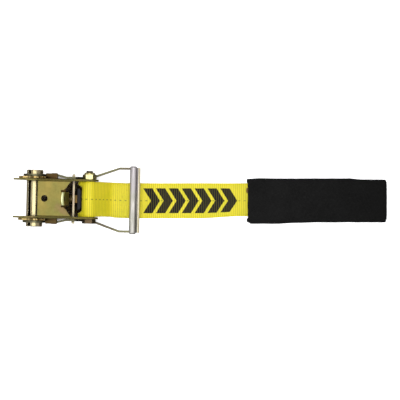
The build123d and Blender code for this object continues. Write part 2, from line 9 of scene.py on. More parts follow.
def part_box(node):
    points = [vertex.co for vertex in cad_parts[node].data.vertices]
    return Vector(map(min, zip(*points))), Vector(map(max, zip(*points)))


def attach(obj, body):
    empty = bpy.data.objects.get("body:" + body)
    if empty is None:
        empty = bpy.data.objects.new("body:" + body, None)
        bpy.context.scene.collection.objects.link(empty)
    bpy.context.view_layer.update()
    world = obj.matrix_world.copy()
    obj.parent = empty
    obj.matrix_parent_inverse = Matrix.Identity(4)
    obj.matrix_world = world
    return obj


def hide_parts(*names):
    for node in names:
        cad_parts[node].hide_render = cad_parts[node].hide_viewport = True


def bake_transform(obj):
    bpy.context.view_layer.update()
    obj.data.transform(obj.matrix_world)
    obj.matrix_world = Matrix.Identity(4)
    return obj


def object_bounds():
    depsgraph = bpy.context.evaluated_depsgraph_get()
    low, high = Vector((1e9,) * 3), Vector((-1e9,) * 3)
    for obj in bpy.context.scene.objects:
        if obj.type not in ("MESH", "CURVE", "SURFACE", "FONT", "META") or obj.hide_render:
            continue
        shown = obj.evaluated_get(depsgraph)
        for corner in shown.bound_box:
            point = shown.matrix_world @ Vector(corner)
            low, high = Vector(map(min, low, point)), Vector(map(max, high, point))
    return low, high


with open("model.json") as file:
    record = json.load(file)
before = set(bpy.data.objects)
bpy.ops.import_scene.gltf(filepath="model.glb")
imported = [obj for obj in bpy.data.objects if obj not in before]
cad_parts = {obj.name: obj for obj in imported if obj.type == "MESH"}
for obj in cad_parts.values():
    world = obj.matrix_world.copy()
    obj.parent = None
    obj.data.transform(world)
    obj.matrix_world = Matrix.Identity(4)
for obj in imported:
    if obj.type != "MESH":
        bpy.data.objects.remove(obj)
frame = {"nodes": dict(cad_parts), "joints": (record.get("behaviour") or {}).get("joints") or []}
cad_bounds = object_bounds()

# Sizes in metres. Places come from the frame.
MM = 0.001

# The webbing's section, then its run: slopes in degrees before and after the loop round the bolt, the
# bends that lead into them, the tail that is sewn under the strap and the end hidden in the sleeve.
WEB_T = 2.3 * MM
WEB_HALF = 25.0 * MM
RIB_PITCH = 3.0 * MM
RIB_DEPTH = 0.24 * MM
STEPS_PER_RIB = 5
LAYER_GAP = 0.1 * MM
LOOP_GAP = 0.35 * MM
IN_SLOPE = 22.4
IN_BEND = 25.0 * MM
OUT_SLOPE = 50.0
OUT_BEND = 12.0 * MM
SHIFT_BEND = 30.0 * MM
SEWN_TAIL = 74.5 * MM
TAIL_MARGIN = 4.0 * MM
TUCK = 5.2 * MM

# The sleeve is a flat tube, folded over the webbing's end: height of one run, cloth and half width.
SLEEVE_T = 4.6 * MM
SLEEVE_CLOTH = 0.72 * MM
SLEEVE_HALF = 31.0 * MM
FOLD_GAP = 0.3 * MM

joint_at = {joint["name"]: Vector(joint.get("pos_m") or (0, 0, 0)) for joint in frame["joints"]}
joint_axis = {joint["name"]: Vector(joint["axis"]) for joint in frame["joints"]}
SPOOL = joint_at["spool_spin"]
BOLT = joint_at["strap_swing"]
FLOOR = cad_bounds[0].z
SPACER_LOW, SPACER_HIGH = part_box("bolt_spacer")
LOOP_R = (SPACER_HIGH.x - SPACER_LOW.x) / 2 + LOOP_GAP + WEB_T / 2
UNDER_END = BOLT.x + SEWN_TAIL
SLEEVE_START = SPOOL.x + 302.0 * MM
SLEEVE_END = SPOOL.x + 501.0 * MM
FOLD_R = SLEEVE_T / 2 + FOLD_GAP
FOLD_END = SLEEVE_END - FOLD_R - SLEEVE_T / 2

# Beyond the handle the webbing turns away from the buckle's line by a small angle.
YAW = math.radians(1.25)
YAW_X = SPOOL.x + 171.0 * MM
YAW_BLEND = (YAW_X - 78 * MM, YAW_X - 30 * MM)

# The bent lip of the base plate, which carries a painted highlight, and the edge of the grip's lip.
LIP_X = SPOOL.x + 39.6 * MM
LIP_Z = SPOOL.z + 24.1 * MM
LIP_HALF = 9.5 * MM
GRIP_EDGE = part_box("grip_shell")[1].x


# Small helpers

def smooth(low, high, value):
    """0 below low, 1 above high and a soft step between."""
    share = min(1.0, max(0.0, (value - low) / (high - low)))
    return share * share * (3 - 2 * share)


def bump(low, rise, fall, high, value):
    """1 from rise to fall, and 0 outside low and high."""
    return smooth(low, rise, value) * (1 - smooth(fall, high, value))


def wander(seed, x, y=0.0):
    """Smooth noise from -1 to 1."""
    return noise.noise(Vector((x + 17.3 * seed, y - 9.1 * seed, 4.7 * seed)))


def turned(point, share=1.0):
    """A point turned by YAW about YAW_X, or moved a share of the way there."""
    x, y, z = point
    c, s = math.cos(YAW), math.sin(YAW)
    far_x = YAW_X + (x - YAW_X) * c - y * s
    far_y = (x - YAW_X) * s + y * c
    return Vector((x + share * (far_x - x), y + share * (far_y - y), z))


def turned_beyond_handle(point):
    return turned(point, smooth(*YAW_BLEND, point[0]))


def mesh_object(name, vertices, faces, uvs=None):
    """A smooth mesh in the scene. uvs holds a pair for each vertex."""
    mesh = bpy.data.meshes.new(name)
    mesh.from_pydata([tuple(v) for v in vertices], [], faces)
    if uvs is not None:
        layer = mesh.uv_layers.new(name="cloth")
        for loop in mesh.loops:
            layer.data[loop.index].uv = uvs[loop.vertex_index]
    for polygon in mesh.polygons:
        polygon.use_smooth = True
    mesh.update()
    piece = bpy.data.objects.new(name, mesh)
    bpy.context.scene.collection.objects.link(piece)
    return piece


def ring_faces(rings, count, closed_ends=True):
    """Quads between rings of count points, and a cap at each end."""
    faces = []
    for i in range(rings - 1):
        for j in range(count):
            k = (j + 1) % count
            faces.append((i * count + j, i * count + k, (i + 1) * count + k, (i + 1) * count + j))
    if closed_ends:
        faces.append(tuple(reversed(range(count))))
        faces.append(tuple((rings - 1) * count + j for j in range(count)))
    return faces


class Route:
    """A line in the XZ plane made of straight runs (length, 0) and turns (radius, degrees)."""

    def __init__(self, start, heading, moves):
        self.parts = []
        self.length = 0.0
        x, z = start
        angle = math.radians(heading)
        for amount, turn in moves:
            bend = math.radians(turn)
            run = amount if turn == 0 else amount * abs(bend)
            self.parts.append((self.length, x, z, angle, run, amount, bend))
            x, z, angle = self.step(x, z, angle, run, amount, bend)
            self.length += run

    def step(self, x, z, angle, run, radius, bend):
        """Place and heading after a run from a place. radius counts only in a turn."""
        if bend == 0:
            return x + run * math.cos(angle), z + run * math.sin(angle), angle
        way = math.copysign(1, bend)
        new_angle = angle + way * run / radius
        x += way * radius * (math.sin(new_angle) - math.sin(angle))
        z -= way * radius * (math.cos(new_angle) - math.cos(angle))
        return x, z, new_angle

    def at(self, distance):
        """Place and the normal to the left, at a distance along the line."""
        rounding = 1e-12
        part = [part for part in self.parts if part[0] <= distance + rounding][-1]
        start, x, z, angle, run, amount, bend = part
        x, z, angle = self.step(x, z, angle, min(distance - start, run), amount, bend)
        return x, z, (-math.sin(angle), math.cos(angle))


def shift_moves(rise, radius):
    """Two opposite turns that shift a level line up by rise, and the length that they take."""
    angle = math.degrees(math.acos(1 - abs(rise) / (2 * radius)))
    way = math.copysign(1, rise)
    length = 2 * radius * math.sin(math.radians(angle))
    return [(radius, way * angle), (radius, -way * angle)], length


# Camera, light and floor

SENSOR = 36.0
CAMERA_HEIGHT = 2.5
VIEW_SPAN = 0.5717
VIEW_SHIFT = (-1.7 * MM, 2.47 * MM)
FLOOR_HALF = 4.0

# Name, place, size, watts and turn in degrees.
LAMPS = (
    ("overhead_softbox", (-0.25, 0.0, 3.0), (2.9, 2.3), 85, (0, 0, 0)),
    ("right_panel", (2.6, 0.0, 1.5), (2.4, 2.4), 14, (0, 65, 0)),
    ("left_panel", (-2.8, 0.0, 1.4), (2.0, 2.4), 22, (0, -65, 0)),
    ("rear_strip", (-0.4, 2.8, 1.1), (3.2, 1.2), 16, (-70, 0, 0)),
    ("front_strip", (-0.4, -2.8, 1.1), (3.2, 1.2), 16, (70, 0, 0)),
)


def make_camera():
    """Straight down on the object, level with its strap."""
    data = bpy.data.cameras.new("camera")
    data.sensor_width = SENSOR
    data.lens = SENSOR * CAMERA_HEIGHT / VIEW_SPAN
    data.clip_end = 50
    camera = bpy.data.objects.new("camera", data)
    middle = (cad_bounds[0] + cad_bounds[1]) / 2
    camera.location = (middle.x + VIEW_SHIFT[0], middle.y + VIEW_SHIFT[1], FLOOR + CAMERA_HEIGHT)
    camera.rotation_euler = (0, 0, YAW)
    scene = bpy.context.scene
    scene.collection.objects.link(camera)
    scene.camera = camera
    scene.view_settings.view_transform = "Standard"


def make_lamps():
    for name, place, size, power, turn in LAMPS:
        light = bpy.data.lights.new(name, "AREA")
        light.shape = "RECTANGLE"
        light.size, light.size_y = size
        light.energy = power
        lamp = bpy.data.objects.new(name, light)
        lamp.location = place
        lamp.rotation_euler = [math.radians(angle) for angle in turn]
        bpy.context.scene.collection.objects.link(lamp)


def make_world():
    """A faint even light. The camera sees it as a nearly white wall."""
    world = bpy.data.worlds.new("studio")
    world.use_nodes = True
    bpy.context.scene.world = world
    tree = world.node_tree
    light = tree.nodes["Background"]
    light.inputs["Color"].default_value = (1.0, 1.0, 1.0, 1)
    light.inputs["Strength"].default_value = 0.10
    wall = tree.nodes.new("ShaderNodeBackground")
    wall.inputs["Color"].default_value = (0.97, 0.97, 0.97, 1)
    path = tree.nodes.new("ShaderNodeLightPath")
    mix = tree.nodes.new("ShaderNodeMixShader")
    tree.links.new(path.outputs["Is Camera Ray"], mix.inputs[0])
    tree.links.new(light.outputs[0], mix.inputs[1])
    tree.links.new(wall.outputs[0], mix.inputs[2])
    tree.links.new(mix.outputs[0], tree.nodes["World Output"].inputs["Surface"])


def make_floor():
    """White to the camera where it is open, painted shade from brown to black in the buckle's gaps, lifted
    from the bolt on.

    Reflections and bounced light meet a plain grey floor without the glow.
    """
    corners = [(x * FLOOR_HALF, y * FLOOR_HALF, FLOOR) for x, y in ((-1, -1), (1, -1), (1, 1), (-1, 1))]
    floor = mesh_object("floor", corners, [(0, 1, 2, 3)])
    n = Nodes("floor")
    # Painted shade: ambient occlusion darkens the floor's colour and turns off its glow under and inside the
    # buckle.
    above = n.node("AmbientOcclusion", {"Distance": 60 * MM}, samples=16).outputs["AO"]
    # Painted light: from the bolt on, the floor is lifted towards white whatever the occlusion.
    beyond_bolt = n.fade(n.axes()[0], BOLT.x + 4 * MM, BOLT.x + 9 * MM, 0.0, 0.22)
    opened = n.math("ADD", above, beyond_bolt)
    lit = n.fade(opened, 0.25, 0.40)
    shade = n.mix(n.fade(opened, 0.15, 0.26), (0.016, 0.010, 0.005), (0.50, 0.32, 0.12))
    pale = n.mix(lit, shade, (0.86, 0.86, 0.86))
    seen = n.node("LightPath").outputs["Is Camera Ray"]
    n.set(Base_Color=n.mix(seen, (0.42, 0.41, 0.39), pale), Roughness=0.9, Specular_IOR_Level=0.1)
    n.set(Emission_Color=(1, 1, 1, 1), Emission_Strength=n.product(lit, seen, 0.8))
    floor.data.materials.append(n.material)


# Materials

class Nodes:
    """Builds a material's node tree."""

    def __init__(self, name):
        self.material = bpy.data.materials.new(name)
        self.material.use_nodes = True
        self.tree = self.material.node_tree
        self.shader = self.tree.nodes["Principled BSDF"]

    def put(self, socket, value):
        """Link a socket, or set a plain value on it."""
        if isinstance(value, bpy.types.NodeSocket):
            self.tree.links.new(value, socket)
        else:
            socket.default_value = value

    def node(self, kind, inputs=(), **settings):
        made = self.tree.nodes.new("ShaderNode" + kind)
        for key, value in settings.items():
            setattr(made, key, value)
        for key, value in dict(inputs).items():
            self.put(made.inputs[key], value)
        return made

    def set(self, **inputs):
        for key, value in inputs.items():
            self.put(self.shader.inputs[key.replace("_", " ")], value)

    def math(self, operation, first, second=0.0, third=0.0):
        made = self.node("Math", {0: first, 1: second, 2: third}, operation=operation)
        return made.outputs[0]

    def product(self, first, *others):
        for other in others:
            first = self.math("MULTIPLY", first, other)
        return first

    def place(self, scale=(1, 1, 1)):
        where = self.node("TexCoord").outputs["Object"]
        return self.scaled(where, scale)

    def scaled(self, where, scale):
        return self.node("Mapping", {"Vector": where, "Scale": scale}).outputs[0]

    def axes(self):
        """X, Y and Z of the place."""
        return list(self.node("SeparateXYZ", {0: self.place()}).outputs)

    def cloth(self):
        """The cloth's own place: metres along and across it."""
        return self.node("UVMap", uv_map="cloth").outputs[0]

    def noise(self, where, scale, detail, roughness):
        inputs = {"Vector": where, "Scale": scale, "Detail": detail, "Roughness": roughness}
        return self.node("TexNoise", inputs).outputs["Fac"]

    def ramp(self, value, stops):
        made = self.node("ValToRGB", {0: value})
        elements = made.color_ramp.elements
        while len(elements) < len(stops):
            elements.new(0.5)
        for element, (position, colour) in zip(elements, stops):
            element.position = position
            element.color = (*colour, 1)
        return made.outputs[0]

    def fade(self, value, low, high, to_low=0.0, to_high=1.0):
        """A soft step from to_low to_high, while the value goes from low to high."""
        inputs = {0: value, 1: low, 2: high, 3: to_low, 4: to_high}
        return self.node("MapRange", inputs, interpolation_type="SMOOTHSTEP").outputs[0]

    def mix(self, share, first, second):
        """A colour from first at share 0 to second at share 1."""
        made = self.node("Mix", data_type="RGBA")
        self.put(made.inputs[0], share)
        for socket, value in ((made.inputs[6], first), (made.inputs[7], second)):
            self.put(socket, value if isinstance(value, bpy.types.NodeSocket) else (*value, 1))
        return made.outputs[2]

    def bumped(self, height, distance, strength, normal=None):
        inputs = {"Height": height, "Distance": distance, "Strength": strength}
        if normal is not None:
            inputs["Normal"] = normal
        return self.node("Bump", inputs).outputs[0]


def plated(name, tones, roughness, blotch, grain=(1, 1, 1), dirt=0.25, worn=(0.8, 0.76, 0.6),
           painted_shade=0.85, marks=None):
    """Zinc plate: tones run through each other in blotches, hollows get painted shade and edges are worn."""
    n = Nodes(name)
    where = n.place()
    drift = n.noise(where, blotch, 2.5, 0.55)
    first, span = 0.32, 0.36
    colour = n.ramp(drift, [(first + span * i / (len(tones) - 1), tone) for i, tone in enumerate(tones)])
    mottle = n.noise(where, blotch * 9, 4, 0.6)
    colour = n.mix(n.fade(mottle, 0.35, 0.75, 0.0, dirt), colour, tuple(0.42 * c for c in tones[0]))
    if marks:
        colour = marks(n, colour)
    # Painted shade: the colour darkens where ambient occlusion finds hollows and gaps between parts.
    hollow = n.node("AmbientOcclusion", {"Distance": 16 * MM}, samples=8).outputs["AO"]
    colour = n.mix(n.fade(hollow, 0.72, 0.2, 0.0, painted_shade), colour, tuple(0.1 * c for c in tones[0]))
    rounded = n.node("Bevel", {"Radius": 0.5 * MM}, samples=4).outputs[0]
    plain = n.node("NewGeometry").outputs["Normal"]
    turn = n.node("VectorMath", {0: rounded, 1: plain}, operation="DOT_PRODUCT").outputs["Value"]
    edge = n.product(n.fade(turn, 0.995, 0.9), n.fade(mottle, 0.3, 0.6, 0.25, 0.8))
    colour = n.mix(edge, colour, worn)
    streaks = n.noise(n.place(grain), 2600, 3, 0.6)
    spread = n.math("MULTIPLY_ADD", streaks, 0.16, roughness - 0.08)
    spread = n.math("ADD", spread, n.fade(drift, 0.3, 0.7, -0.05, 0.07))
    n.set(Base_Color=colour, Metallic=1.0, Roughness=spread)
    n.set(Normal=n.bumped(streaks, 0.03 * MM, 0.35, rounded))
    return n.material


def fold_shade_and_lip_highlight(n, colour):
    """The base plate gets painted shade along its two folds and a painted highlight where the lip bends
    down.
    """
    x, y, z = n.axes()
    side = n.math("ABSOLUTE", y)
    # Painted shade: a dark band along the inside of each fold.
    fold_inside = n.fade(side, 23.6 * MM, 24.2 * MM)
    fold_outside = n.fade(side, 25.4 * MM, 24.9 * MM)
    colour = n.mix(n.product(fold_inside, fold_outside, 0.8), colour, (0.03, 0.02, 0.006))
    # Painted highlight: a light crescent on the bend where the lip turns down.
    curved = n.product(n.math("POWER", n.math("DIVIDE", side, LIP_HALF), 2.0), 1.3 * MM)
    into = n.math("SUBTRACT", n.math("SUBTRACT", x, LIP_X), curved)
    near_side, far_side = n.fade(into, -0.3 * MM, 0.3 * MM), n.fade(into, 3.8 * MM, 2.6 * MM)
    across = n.fade(side, LIP_HALF, LIP_HALF - 0.8 * MM)
    above = n.fade(z, LIP_Z - 7 * MM, LIP_Z - 5 * MM)
    return n.mix(n.product(near_side, far_side, across, above), colour, (0.83, 0.86, 0.50))


def lip_marks(n, colour):
    """The grip is streaked along its length, lilac towards one end, and its lip is painted a light cream."""
    x, y, _ = n.axes()
    colour = n.mix(n.fade(y, 2 * MM, 22 * MM, 0.0, 0.7), colour, (0.56, 0.52, 0.57))
    lines = n.noise(n.place((1, 0.02, 1)), 800, 2, 0.6)
    colour = n.mix(n.fade(lines, 0.4, 0.62, 0.0, 0.45), colour, (0.20, 0.195, 0.165))
    light_lip = n.fade(x, GRIP_EDGE - 3.2 * MM, GRIP_EDGE - 2.6 * MM)
    return n.mix(light_lip, colour, (0.86, 0.78, 0.57))


def moulded(name, colour, roughness):
    """Plastic with a fine grain and a little drift in its colour."""
    n = Nodes(name)
    where = n.place()
    grain = n.noise(where, 2200, 2, 0.5)
    shade = n.noise(where, 60, 3, 0.6)
    lighter = tuple(1.5 * c for c in colour)
    n.set(Base_Color=n.mix(n.fade(shade, 0.35, 0.7), colour, lighter))
    n.set(Roughness=n.fade(grain, 0.3, 0.7, roughness - 0.08, roughness + 0.08))
    n.set(Specular_IOR_Level=0.25, Normal=n.bumped(grain, 0.05 * MM, 0.5))
    return n.material


def woven_yellow(total):
    """Cross-ribbed polyester with a marker thread, a printed row of chevrons and melted ends, with painted
    shade in its rib grooves and towards the sleeve's mouth.
    """
    n = Nodes("woven_yellow")
    uv = n.cloth()
    along, across = list(n.node("SeparateXYZ", {0: uv}).outputs)[:2]
    yellow, deep = (0.88, 0.74, 0.022), (0.56, 0.50, 0.007)
    tint = n.noise(n.place(), 42, 3, 0.55)
    colour = n.mix(n.fade(tint, 0.35, 0.68), yellow, (0.76, 0.68, 0.012))
    # Painted shade: the grooves between the ribs are darker.
    groove = n.fade(n.math("PINGPONG", along, RIB_PITCH / 2), 0.85 * MM, 0.1 * MM)
    colour = n.mix(n.product(groove, 0.9), colour, deep)
    yarn = n.noise(n.scaled(uv, (330, 1500, 1)), 1.0, 2.5, 0.6)
    colour = n.mix(n.fade(yarn, 0.52, 0.75, 0.0, 0.4), colour, deep)

    middle = n.math("ABSOLUTE", n.math("SUBTRACT", across, WEB_HALF))
    on_line = n.fade(middle, 0.95 * MM, 0.55 * MM)
    dash = n.fade(n.math("PINGPONG", along, 3.7 * MM), 1.25 * MM, 1.6 * MM, 1.0, 0.0)
    colour = n.mix(n.product(on_line, dash, 0.75), colour, (0.17, 0.17, 0.012))

    # Painted shade: the webbing darkens towards the sleeve's mouth.
    darker_to_sleeve = n.fade(along, SCORCH_ALONG - 28 * MM, SCORCH_ALONG - 8 * MM, 0.0, 0.3)
    colour = n.mix(darker_to_sleeve, colour, deep)
    inked = n.product(chevron_print(n, along, middle, yarn), n.fade(groove, 0.75, 1.0, 1.0, 0.8))
    colour = n.mix(inked, colour, n.mix(yarn, (0.003, 0.0025, 0.003), (0.010, 0.008, 0.006)))

    from_along = n.math("SUBTRACT", along, SCORCH_ALONG)
    from_across = n.product(n.math("SUBTRACT", across, SCORCH_ACROSS), SCORCH_SHAPE)
    squares = [n.math("POWER", part, 2.0) for part in (from_along, from_across)]
    scorched = n.fade(n.math("SQRT", n.math("ADD", *squares)), 2.3 * MM, 1.2 * MM)
    colour = n.mix(scorched, colour, (0.16, 0.085, 0.006))

    near_end = n.math("MINIMUM", along, n.math("SUBTRACT", total, along))
    colour = n.mix(n.fade(near_end, 3.2 * MM, 1.0 * MM), colour, (0.10, 0.055, 0.006))

    n.set(Base_Color=colour, Roughness=n.fade(yarn, 0.3, 0.8, 0.5, 0.72), Sheen_Roughness=0.4)
    n.set(Sheen_Weight=n.fade(inked, 0.0, 1.0, 0.12, 0.0))
    n.set(Specular_IOR_Level=n.fade(inked, 0.0, 1.0, 0.38, 0.16))
    n.set(Normal=n.bumped(yarn, 0.12 * MM, 0.7))
    return n.material


def chevron_print(n, along, middle, yarn):
    """A row of plain chevrons; the print is thin, so the yarns break its edges."""
    ragged = n.math("MULTIPLY_ADD", yarn, 1.2 * MM, -0.6 * MM)
    slanted = n.math("ADD", n.math("SUBTRACT", along, PRINT_START), n.product(middle, CHEVRON_LEAN))
    phase = n.math("PINGPONG", n.math("ADD", slanted, ragged), CHEVRON_PITCH / 2)
    bars = n.fade(phase, CHEVRON_BAR / 2, CHEVRON_BAR / 2 + 0.3 * MM, 1.0, 0.0)
    first, last = -CHEVRON_PITCH / 2, (CHEVRONS - 0.5) * CHEVRON_PITCH
    after_first = n.fade(slanted, first, first + 0.1 * MM)
    before_last = n.fade(slanted, last, last - 0.1 * MM)
    height = n.fade(n.math("ADD", middle, ragged), PRINT_HALF, PRINT_HALF + 0.4 * MM, 1.0, 0.0)
    return n.product(bars, after_first, before_last, height)


def woven_black():
    """Close black weave: two sets of yarns, faded here and there, darker to the end, with a little lint."""
    n = Nodes("woven_black")
    uv = n.cloth()
    yarns = [n.noise(n.scaled(uv, scale), 1.0, 2.5, 0.6) for scale in ((1500, 240, 1), (240, 1500, 1))]
    weave = n.product(n.math("ADD", *yarns), 0.5)
    lint = n.noise(n.place(), 1400, 3, 0.7)
    faded = n.noise(n.place(), 30, 4, 0.6)
    colour = n.mix(n.fade(faded, 0.35, 0.7), (0.0036, 0.0036, 0.0036), (0.0068, 0.0068, 0.0068))
    colour = n.mix(n.fade(weave, 0.45, 0.62, 0.0, 0.6), colour, (0.0104, 0.0104, 0.0102))
    to_end = n.fade(n.axes()[0], SLEEVE_START + 70 * MM, SLEEVE_END, 0.0, 0.55)
    colour = n.mix(to_end, colour, (0.0012, 0.0012, 0.0010))
    colour = n.mix(n.fade(lint, 0.66, 0.74, 0.0, 0.3), colour, (0.04, 0.04, 0.042))
    n.set(Base_Color=colour, Roughness=n.fade(weave, 0.35, 0.65, 0.95, 0.8))
    n.set(Specular_IOR_Level=0.14, Sheen_Weight=0.02, Sheen_Roughness=0.5)
    n.set(Normal=n.bumped(weave, 0.2 * MM, 0.8))
    return n.material


def thread_material(name, colour):
    """Twisted thread, darker between its plies."""
    n = Nodes(name)
    ply = n.noise(n.place(), 2400, 2, 0.5)
    n.set(Base_Color=n.mix(n.fade(ply, 0.35, 0.7), colour, tuple(0.55 * c for c in colour)))
    n.set(Roughness=n.fade(ply, 0.3, 0.7, 0.45, 0.62), Normal=n.bumped(ply, 0.08 * MM, 0.6))
    return n.material


# Webbing

def webbing_route():
    """The run of the webbing: sewn tail, round the spacer, out to the sleeve and back in a fold."""
    layer = WEB_T / 2
    bolt_z = BOLT.z - FLOOR
    slope, drop_slope = math.radians(IN_SLOPE), math.radians(OUT_SLOPE)
    in_tan = IN_BEND * math.tan(slope / 2)
    out_tan = OUT_BEND * math.tan(drop_slope / 2)
    rise = bolt_z - LOOP_R * math.cos(slope) - layer
    in_x = BOLT.x - LOOP_R * math.sin(slope) + rise / math.tan(slope)
    in_run = rise / math.sin(slope) - in_tan
    drop = bolt_z + LOOP_R * math.cos(drop_slope) - 3 * layer - LAYER_GAP
    out_x = BOLT.x + LOOP_R * math.sin(drop_slope) + drop / math.tan(drop_slope)
    out_run = drop / math.sin(drop_slope) - out_tan
    down, down_len = shift_moves(-(WEB_T + LAYER_GAP), SHIFT_BEND)
    up, up_len = shift_moves(SLEEVE_T / 2 - layer, SHIFT_BEND)
    sleeve_run = FOLD_END - SLEEVE_START + TAIL_MARGIN
    middle = SLEEVE_START - TAIL_MARGIN - up_len - (UNDER_END + TAIL_MARGIN + down_len)
    moves = [(UNDER_END - in_x - in_tan, 0), (IN_BEND, -IN_SLOPE), (in_run, 0)]
    moves += [(LOOP_R, -(180 - IN_SLOPE + OUT_SLOPE)), (out_run, 0), (OUT_BEND, OUT_SLOPE)]
    moves += [(UNDER_END + TAIL_MARGIN - out_x - out_tan, 0)] + down + [(middle, 0)] + up
    moves += [(sleeve_run, 0), (FOLD_R, 180), (sleeve_run - TUCK, 0)]
    return Route((UNDER_END, FLOOR + layer), 180, moves)


ROUTE = webbing_route()
LOOP_FROM = ROUTE.parts[3][0]
FLAT_FROM, FLAT_X = ROUTE.parts[6][:2]


def along_flat(x):
    """Distance along the webbing at which its flat upper run passes x."""
    return FLAT_FROM + x - FLAT_X


# The print, the brown spot at the sleeve's mouth, and the place where the loop is pressed in.
CHEVRONS = 7
CHEVRON_PITCH = 18.4 * MM
CHEVRON_BAR = 12.9 * MM
CHEVRON_LEAN = 0.62
PRINT_HALF = 17.5 * MM
PRINT_START = along_flat(SPOOL.x + 170.8 * MM)
SCORCH_ALONG = along_flat(SLEEVE_START + 0.2 * MM)
SCORCH_ACROSS = WEB_HALF + 14.6 * MM
SCORCH_SHAPE = 0.42
SLACK_AT = LOOP_FROM + 0.62 * LOOP_R
SLACK_BULGE = 7.6 * MM


def slack(distance, across):
    """The loop is pressed in behind the finger tab and bulges at its two edges."""
    beside = smooth(16.6 * MM, 20.5 * MM, abs(across))
    near = bump(SLACK_AT - 13 * MM, SLACK_AT - 4 * MM, SLACK_AT, SLACK_AT + 12 * MM, distance)
    return SLACK_BULGE * beside * near


def edge_at(x, share):
    """Half width of the webbing. The edge with a negative share is drawn in twice."""
    drawn = 0.0
    if share < 0:
        drawn = 0.8 * MM * bump(BOLT.x + 6 * MM, BOLT.x + 16 * MM, BOLT.x + 28 * MM, BOLT.x + 36 * MM, x)
        drawn += 3.0 * MM * smooth(SLEEVE_START - 66 * MM, SLEEVE_START - 8 * MM, x)
    return WEB_HALF - drawn + 0.25 * MM * wander(3 + share, x * 22)


def lift_at(x, across):
    """Between the sewn tail and the sleeve the webbing stands off the floor a little, in waves."""
    first, last = UNDER_END + 12 * MM, SLEEVE_START - 20 * MM
    between = bump(first, first + 28 * MM, last - 40 * MM, last, x)
    return between * 0.7 * MM * (1 + wander(8, x * 16, across * 30)) / 2


def webbing_point(distance, share, side):
    """A point of the skin: share runs from -1 to 1 across, side is 1 outside the loop, -1 inside."""
    x, z, (nx, nz) = ROUTE.at(distance)
    across = share * edge_at(x, share)
    outward = abs(share)
    rounded_edge = (1 - outward ** 14) ** 0.5 if outward < 1 else 0.0
    selvedge = 0.62 + 0.38 * (1 - smooth(0.9, 0.965, outward))
    crest = abs(math.sin(math.pi * distance / RIB_PITCH)) ** 0.6
    ribs = RIB_DEPTH * (1 - crest) * (1 - smooth(0.93, 0.99, outward))
    offset = side * (WEB_T / 2 * rounded_edge * selvedge - ribs) + slack(distance, across)
    return turned_beyond_handle((x + nx * offset, across, z + nz * offset + lift_at(x, across)))


def make_webbing():
    """The whole strap as one closed skin, with points crowded towards its edges."""
    columns = 26
    shares = [math.sin(math.pi / 2 * (2 * i / columns - 1)) for i in range(columns + 1)]
    ring = [(share, 1) for share in shares] + [(share, -1) for share in reversed(shares[1:-1])]
    steps = round(ROUTE.length / (RIB_PITCH / STEPS_PER_RIB))
    vertices, uvs = [], []
    for i in range(steps + 1):
        distance = ROUTE.length * i / steps
        for share, side in ring:
            vertices.append(webbing_point(distance, share, side))
            uvs.append((distance, WEB_HALF * (1 + share)))
    piece = mesh_object("webbing_woven", vertices, ring_faces(steps + 1, len(ring)), uvs)
    piece.data.materials.append(woven_yellow(ROUTE.length))
    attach(piece, "strap")
    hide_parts("webbing")
    return piece


def capsule(centre, direction, up, length, radius, vertices, faces):
    """A short round-ended stitch, flattened a little on the cloth."""
    side = direction.cross(up).normalized()
    spans = ((-0.5, 0.15), (-0.36, 0.85), (0.0, 1.0), (0.36, 0.85), (0.5, 0.15))
    around, flattening = 6, 0.7
    base = len(vertices)
    for along, width in spans:
        for k in range(around):
            angle = 2 * math.pi * k / around
            ring = side * math.cos(angle) + up * (flattening * math.sin(angle))
            vertices.append(centre + direction * (along * length) + ring * (radius * width))
    for face in ring_faces(len(spans), around):
        faces.append(tuple(base + index for index in face))


STITCH_ROWS = (-16.0 * MM, -6.5 * MM, 5.0 * MM, 14.5 * MM)
STITCH_PITCH = 4.6 * MM
STITCH_SWING = 1.7 * MM
STITCH_RADIUS = 0.34 * MM


def make_stitches():
    """Zigzag rows that sew the tail under the webbing, seen above and below."""
    rng = random.Random(5)
    vertices, faces = [], []
    first, last = BOLT.x + 31 * MM, UNDER_END - 6 * MM
    top = FLOOR + 2 * WEB_T + LAYER_GAP
    for row in STITCH_ROWS:
        x, flip = first, 1
        while x < last:
            start = Vector((x, row + flip * STITCH_SWING / 2, 0))
            step = Vector((STITCH_PITCH / 2, -flip * STITCH_SWING, 0))
            sunk = rng.uniform(0.0, 0.34) * MM
            for z, up in ((top - 0.12 * MM - sunk, 1), (FLOOR + 0.22 * MM, -1)):
                middle = start + step / 2 + Vector((0, rng.uniform(-0.2, 0.2) * MM, 0))
                ends = [turned_beyond_handle(middle + step * share) for share in (-0.5, 0.5)]
                centre = (ends[0] + ends[1]) / 2 + Vector((0, 0, z))
                direction = (ends[1] - ends[0]).normalized()
                upward = Vector((0, 0, up))
                capsule(centre, direction, upward, step.length * 0.8, STITCH_RADIUS, vertices, faces)
            x += STITCH_PITCH / 2
            flip = -flip
    piece = mesh_object("tail_stitching", vertices, faces)
    piece.data.materials.append(thread_material("sewing_thread", (0.62, 0.50, 0.03)))
    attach(piece, "strap")
    return piece


# Sleeve

def sleeve_route():
    """The sleeve's lower run, its fold and its upper run."""
    straight = FOLD_END - SLEEVE_START
    moves = [(straight, 0), (FOLD_R, 180), (straight, 0)]
    return Route((SLEEVE_START, FLOOR + SLEEVE_T / 2), 0, moves)


SLEEVE_ROUTE = sleeve_route()


